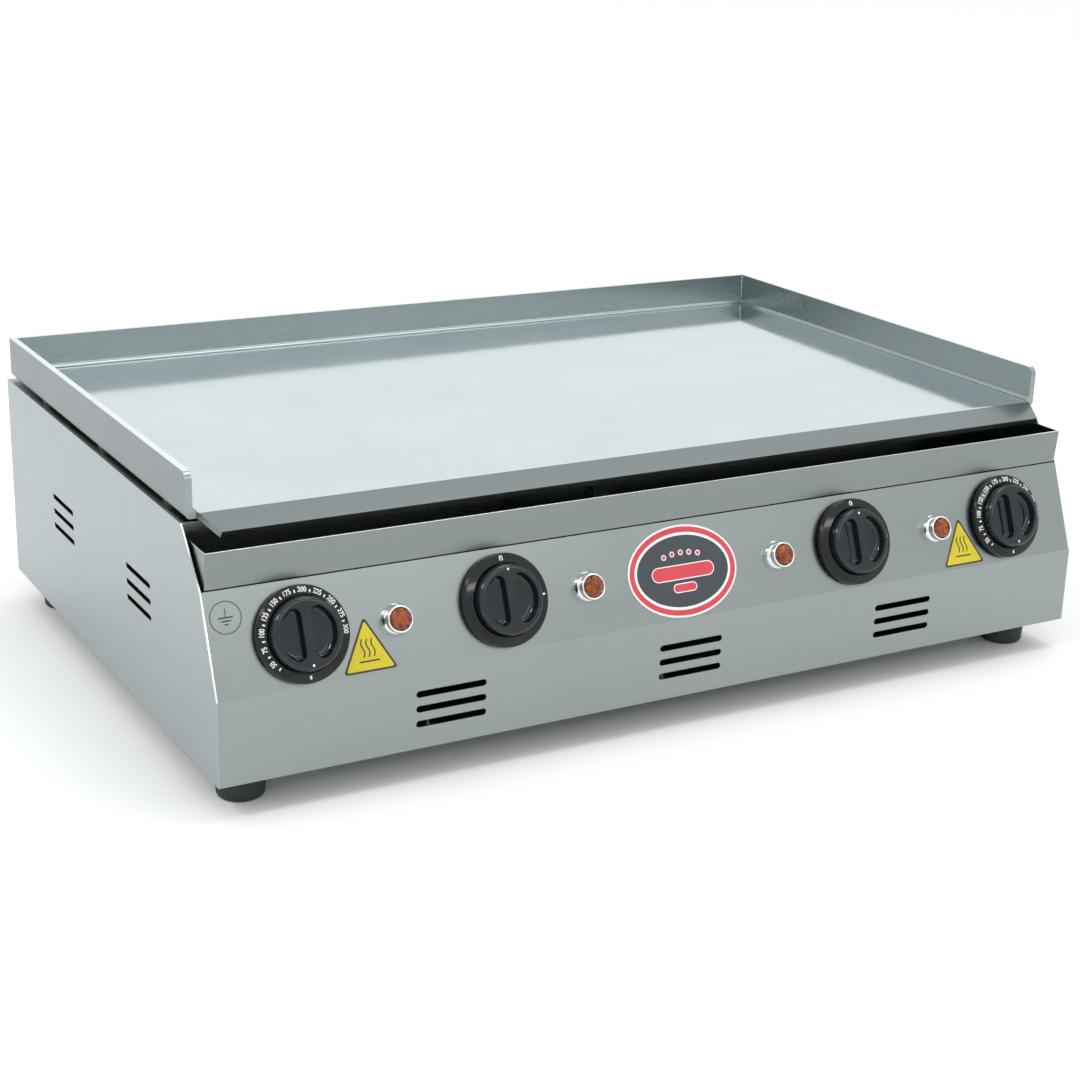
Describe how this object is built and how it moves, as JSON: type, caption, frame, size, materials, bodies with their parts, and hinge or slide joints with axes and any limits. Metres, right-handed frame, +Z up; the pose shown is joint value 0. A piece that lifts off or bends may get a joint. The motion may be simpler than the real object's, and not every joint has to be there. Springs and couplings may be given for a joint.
{
  "type": "flat top griddle",
  "caption": "Countertop electric flat top griddle: folded steel plate with raised walls and front lip, drip tray, dials, selector knobs and pilot lamps.",
  "frame": {"origin": "on the surface the feet stand on, under the middle of the whole object's width and depth", "axes": "+X to the right as seen from the controls, +Y to the rear, +Z up"},
  "size_m": [0.7, 0.4862, 0.215],
  "materials": {
    "plate_steel": "polished hard chrome, faint cloudy texture",
    "casing_steel": "satin stainless sheet",
    "tray_steel": "satin stainless sheet, slightly darker",
    "dial_plastic": "black, white scale printed on it",
    "knob_plastic": "black, moulded",
    "zinc_steel": "zinc plated",
    "bezel_chrome": "polished",
    "amber_lens": "amber, faceted",
    "foot_rubber": "matte black",
    "element_sheath": "heat-tinted sheath",
    "sensor_copper": "copper",
    "control_plastic": "moulded, off-white",
    "gland_plastic": "black nylon",
    "terminal_plastic": "moulded, white",
    "wire_sleeve": "glass-fibre sleeve",
    "ceramic_blanket": "white fibre blanket",
    "badge_film": "printed oval sticker",
    "label_yellow": "printed yellow sticker"
  },
  "bodies": {
    "casing": {"badge": "badge_film", "base_screws": "zinc_steel", "bottom_pan": "casing_steel", "cable_gland": "gland_plastic", "clamp_bars": "casing_steel", "control_panel": "casing_steel", "dial_selector_left": "dial_plastic", "dial_selector_right": "dial_plastic", "dial_thermostat_left": "dial_plastic", "dial_thermostat_right": "dial_plastic", "earth_stud": "zinc_steel", "foot_front_left": "foot_rubber", "foot_front_right": "foot_rubber", "foot_rear_left": "foot_rubber", "foot_rear_right": "foot_rubber", "foot_screws": "zinc_steel", "front_rail": "casing_steel", "gland_nut": "gland_plastic", "griddle_plate": "plate_steel", "heating_element_left": "element_sheath", "heating_element_right": "element_sheath", "insulation": "ceramic_blanket", "insulation_pan": "casing_steel", "lamp_bezel_1": "bezel_chrome", "lamp_bezel_2": "bezel_chrome", "lamp_bezel_3": "bezel_chrome", "lamp_bezel_4": "bezel_chrome", "lamp_bodies": "control_plastic", "lamp_lens_1": "amber_lens", "lamp_lens_2": "amber_lens", "lamp_lens_3": "amber_lens", "lamp_lens_4": "amber_lens", "partition": "casing_steel", "plate_nuts": "zinc_steel", "plate_spacers": "zinc_steel", "plate_studs": "zinc_steel", "rear_panel": "casing_steel", "selector_left": "control_plastic", "selector_right": "control_plastic", "sensor_left": "sensor_copper", "sensor_right": "sensor_copper", "side_panel_left": "casing_steel", "side_panel_right": "casing_steel", "terminal_block": "terminal_plastic", "thermostat_left": "control_plastic", "thermostat_right": "control_plastic", "tray_guide": "casing_steel", "tray_runners": "casing_steel", "tray_shelf": "casing_steel", "warning_labels": "label_yellow", "wiring_loom": "wire_sleeve"},
    "tray": {"drip_tray": "tray_steel"},
    "knob_thermostat_left": {"knob_thermostat_left": "knob_plastic", "shaft_thermostat_left": "zinc_steel"},
    "knob_thermostat_right": {"knob_thermostat_right": "knob_plastic", "shaft_thermostat_right": "zinc_steel"},
    "knob_selector_left": {"knob_selector_left": "knob_plastic", "shaft_selector_left": "zinc_steel"},
    "knob_selector_right": {"knob_selector_right": "knob_plastic", "shaft_selector_right": "zinc_steel"}
  },
  "joints": [
    {"name": "tray_slide", "type": "slide", "parent": "casing", "child": "tray", "axis": [0, -1, 0], "range_m": [0, 0.1]},
    {"name": "thermostat_left_turn", "type": "hinge", "parent": "casing", "child": "knob_thermostat_left", "pos_m": [-0.2885, -0.22175, 0.1132], "axis": [0, -0.9315, 0.3639], "range_deg": [-270, 0]},
    {"name": "thermostat_right_turn", "type": "hinge", "parent": "casing", "child": "knob_thermostat_right", "pos_m": [0.2885, -0.22175, 0.1132], "axis": [0, -0.9315, 0.3639], "range_deg": [-270, 0]},
    {"name": "selector_left_turn", "type": "hinge", "parent": "casing", "child": "knob_selector_left", "pos_m": [-0.14425, -0.22175, 0.1132], "axis": [0, -0.9315, 0.3639], "range_deg": [-90, 0]},
    {"name": "selector_right_turn", "type": "hinge", "parent": "casing", "child": "knob_selector_right", "pos_m": [0.14425, -0.22175, 0.1132], "axis": [0, -0.9315, 0.3639], "range_deg": [-90, 0]}
  ]
}
